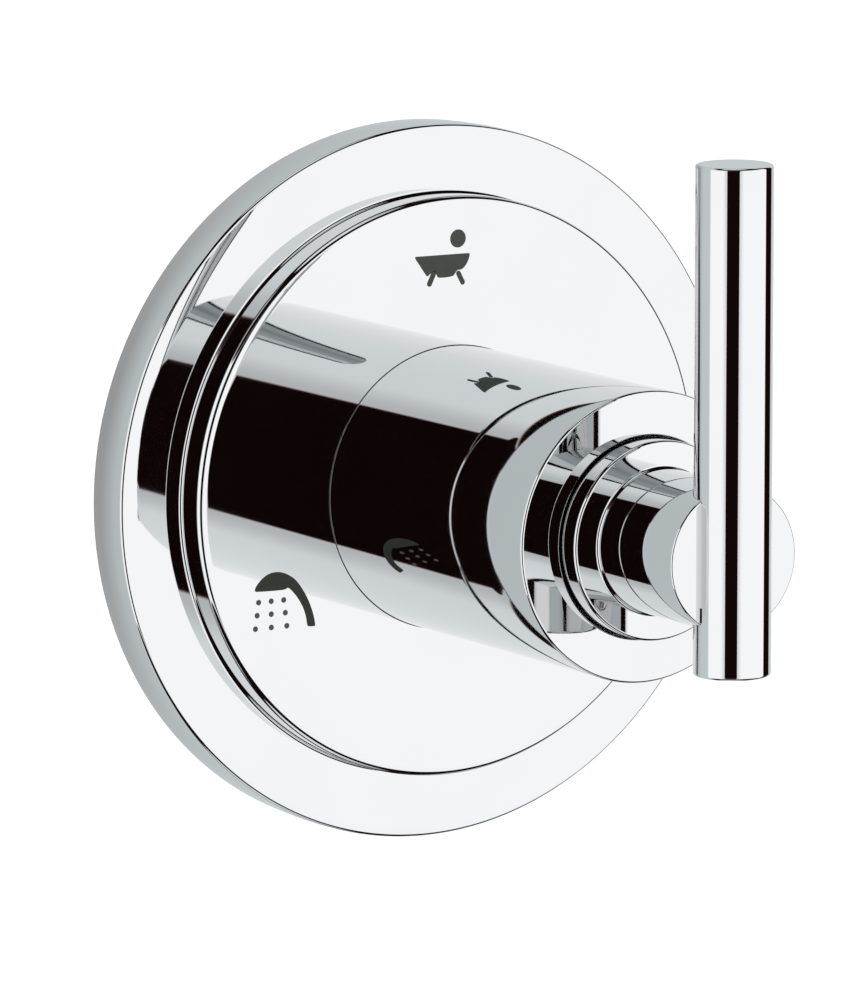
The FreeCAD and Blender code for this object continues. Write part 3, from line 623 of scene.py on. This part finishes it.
def eased(points, times=1):
    """Rounds an outline's corners by cutting them."""
    for _ in range(times):
        made = []
        for k, a in enumerate(points):
            b = points[(k + 1) % len(points)]
            made.append((a[0] * 0.8 + b[0] * 0.2, a[1] * 0.8 + b[1] * 0.2))
            made.append((a[0] * 0.2 + b[0] * 0.8, a[1] * 0.2 + b[1] * 0.8))
        points = made
    return points


def capsule(a, b, radius, count=12):
    """A short bar with round ends between two points."""
    first = math.atan2(b[1] - a[1], b[0] - a[0]) - math.pi / 2
    out = []
    for centre, start in ((b, first), (a, first + math.pi)):
        for k in range(count + 1):
            w = start + math.pi * k / count
            out.append((centre[0] + radius * math.cos(w), centre[1] + radius * math.sin(w)))
    return out


# a tub with rounded notches over its two feet, and a head above it
bath = [
    disc(1.14, 40.4, 1.47, 40),
    eased(
        [
            (-6.98, 38.0), (-6.4, 37.99), (2.9, 37.9), (3.33, 37.86), (3.36, 37.5), (3.12, 36.8), (2.72, 36.1),
            (2.24, 35.58), (1.7, 35.3), (1.05, 35.3), (0.55, 34.98), (0.3, 34.42), (-0.2, 34.32), (-1.0, 34.25),
            (-2.4, 34.26), (-2.76, 34.4), (-2.88, 34.95), (-3.28, 35.36), (-3.74, 35.36), (-4.16, 35.02),
            (-4.64, 34.6), (-4.95, 34.9), (-5.9, 36.25), (-6.9, 37.6),
        ]
    ),
    capsule((-3.49, 34.98), (-4.26, 33.42), 0.46),
    capsule((1.23, 34.74), (2.02, 33.26), 0.43),
]
slab("symbol_bath", bath)

# a domed head that runs on into a curved handle, over nine drops
hand_shower = [
    eased(
        [
            (-37.12, -13.72), (-37.0, -13.1), (-36.55, -12.48), (-35.8, -11.76), (-34.95, -11.22), (-34.1, -10.93),
            (-33.23, -10.84), (-32.38, -10.92), (-31.52, -11.17), (-30.77, -11.54), (-29.92, -12.07), (-29.17, -12.78),
            (-28.31, -13.9), (-27.56, -15.1), (-26.92, -16.37), (-26.39, -17.73), (-26.01, -19.07), (-25.85, -20.1),
            (-25.92, -20.3), (-27.2, -20.24), (-27.36, -19.88), (-27.57, -18.55), (-28.0, -17.29), (-28.64, -16.11),
            (-29.39, -15.02), (-30.24, -14.1), (-30.9, -13.54), (-31.58, -13.87), (-33.46, -13.86), (-35.6, -13.8),
        ]
    )
]
drops = []
for z, xs in ((-15.5, (-36.4, -34.05, -31.72)), (-17.6, (-36.68, -34.05, -31.43)), (-19.75, (-37.0, -34.05, -31.16))):
    drops += [disc(x, z, 0.46, 24) for x in xs]
slab("symbol_hand_shower", hand_shower)
slab("symbol_hand_shower_drops", drops, drop_enamel)

# a wide overhead rose on a short arm, over nine drops
overhead = [
    eased([(27.2, -15.4), (27.5, -14.5), (28.7, -13.1), (30.3, -12.45), (31.7, -12.45), (33.3, -13.1), (34.5, -14.5), (34.8, -15.4)]),
    capsule((31.0, -12.0), (31.0, -10.6), 0.55),
]
drops = []
for z, xs in ((-17.2, (28.6, 31.0, 33.4)), (-19.2, (28.3, 31.0, 33.7)), (-21.2, (28.0, 31.0, 34.0))):
    drops += [disc(x, z, 0.46, 24) for x in xs]
slab("symbol_overhead_shower", overhead)
slab("symbol_overhead_shower_drops", drops, drop_enamel)

# ------------------------------------------------------------ floor and camera

bpy.ops.mesh.primitive_grid_add(x_subdivisions=8, y_subdivisions=8, size=16, location=(0, 0, -0.3))
floor = bpy.context.object
floor.name = "floor"
floor.data.materials.append(floor_look("pale_floor"))
floor.visible_glossy = False

AZIMUTH, ELEVATION = math.radians(32.0), math.radians(9.4)
forward = Vector(
    (
        math.sin(AZIMUTH) * math.cos(ELEVATION),
        math.cos(AZIMUTH) * math.cos(ELEVATION),
        -math.sin(ELEVATION),
    )
)
right = Vector((math.cos(AZIMUTH), -math.sin(AZIMUTH), 0))
up = right.cross(forward)
lens = bpy.data.cameras.new("camera")
lens.lens = 325.0
lens.sensor_width = 36.0
lens.sensor_fit = "AUTO"
lens.clip_start, lens.clip_end = 0.05, 60.0
camera = bpy.data.objects.new("camera", lens)
scene.collection.objects.link(camera)
camera.location = forward * -1.469 + right * 0.00394 - up * 0.00413
camera.rotation_mode = "QUATERNION"
camera.rotation_quaternion = forward.to_track_quat("-Z", "Y")
scene.camera = camera

# ---------------------------------------------------------------- studio light

world = bpy.data.worlds.new("studio")
scene.world = world
world.use_nodes = True
t = Tree(world.node_tree)
split = t.add("ShaderNodeSeparateXYZ")
t.put(t.add("ShaderNodeTexCoord").outputs["Generated"], split.inputs[0])
dx, dy, dz = split.outputs
az = t.sum("MULTIPLY", t.sum("ARCTAN2", dx, t.sum("MULTIPLY", dy, -1.0)), 180 / math.pi)
el = t.sum("MULTIPLY", t.sum("ARCSINE", dz), 180 / math.pi)

WHITE = 1.392
high = t.sum("ABSOLUTE", el)
# the grey rear half, darkest straight behind and at the left
round_az = t.sum("MODULO", t.sum("ADD", az, 360.0), 360.0)
behind = t.sum("ADD", t.ramp(round_az, 146.0, 172.0, 0.0, -0.078, smooth=False), 0.631)
behind = t.sum("ADD", behind, t.ramp(round_az, 172.0, 210.0, 0.0, -0.133, smooth=False))
from_rear = t.sum("MULTIPLY", t.sum("ARCCOSINE", dy), 180 / math.pi)
behind = t.mix(t.ramp(from_rear, 25.5, 34.0, smooth=False), behind, 0.725)
behind = t.sum("ADD", behind, t.ramp(from_rear, 34.0, 46.0, 0.0, 0.122, smooth=False))
front = t.sum("MULTIPLY", t.ramp(az, -111.0, -105.0), t.ramp(az, 107.0, 101.0))
raised = t.ramp(high, 14.0, 24.0)
light = t.mix(front, behind, WHITE)
# a tall dark strip on the right
strip = t.sum("MULTIPLY", t.ramp(az, 70.5, 73.5), t.ramp(az, 105.5, 102.5))
# dark bands above and below, wide in front and narrow behind, with light overhead and underneath
wide = t.sum("MULTIPLY", t.ramp(high, 36.0, 38.0), front)
narrow = t.ramp(high, 57.0, 59.0)
band = t.sum("MULTIPLY", t.sum("MAXIMUM", wide, narrow), t.ramp(high, 71.5, 69.5))
light = t.mix(t.ramp(high, 69.5, 71.5), light, 1.107)
# a dark screen round the camera, its right edge leaning to the right
ROUND, LEFT, TOP, BOTTOM = 4.0, -55.0, 36.0, -33.0
edge = t.sum("ADD", t.sum("MULTIPLY", el, 0.084), -17.9)
middle = t.sum("MULTIPLY", t.sum("ADD", edge, LEFT), 0.5)
half = t.sum("MULTIPLY", t.sum("ADD", edge, -LEFT), 0.5)
u = t.sum("SUBTRACT", t.sum("ABSOLUTE", t.sum("SUBTRACT", az, middle)), t.sum("SUBTRACT", half, ROUND))
v = t.sum("SUBTRACT", t.sum("ABSOLUTE", t.sum("SUBTRACT", el, (TOP + BOTTOM) / 2)), (TOP - BOTTOM) / 2 - ROUND)
u, v = t.sum("MAXIMUM", u, 0.0), t.sum("MAXIMUM", v, 0.0)
away = t.sum("SUBTRACT", t.sum("SQRT", t.sum("ADD", t.sum("MULTIPLY", u, u), t.sum("MULTIPLY", v, v))), ROUND)
light = t.sum("MULTIPLY", light, t.ramp(away, 0.0, 14.0, 0.72, 1.0))
dark = t.sum("MAXIMUM", t.sum("MAXIMUM", band, strip), t.ramp(away, 0.4, -0.4))
light = t.mix(dark, light, 0.0092)
path = t.add("ShaderNodeLightPath")
light = t.mix(path.outputs["Is Camera Ray"], light, 1.0)
back = t.add("ShaderNodeBackground")
t.put(light, back.inputs["Strength"])
# the greys are a little blue, least straight behind, and the dark cloth is a warm black
blue = t.mix(front, t.ramp(from_rear, 26.0, 33.5, 0.25, 1.0), t.sum("MULTIPLY", raised, 0.45))
daylight = t.tint(blue, (0.996, 0.998, 1.0, 1), (0.9, 0.98, 1.0, 1))
daylight = t.tint(path.outputs["Is Camera Ray"], daylight, (0.996, 0.998, 1.0, 1))
shade = t.sum("MULTIPLY", dark, t.sum("SUBTRACT", 1.0, path.outputs["Is Camera Ray"]))
t.put(t.tint(shade, daylight, (1.0, 0.42, 0.37, 1)), back.inputs["Color"])
out = t.add("ShaderNodeOutputWorld")
t.tree.links.new(back.outputs[0], out.inputs["Surface"])
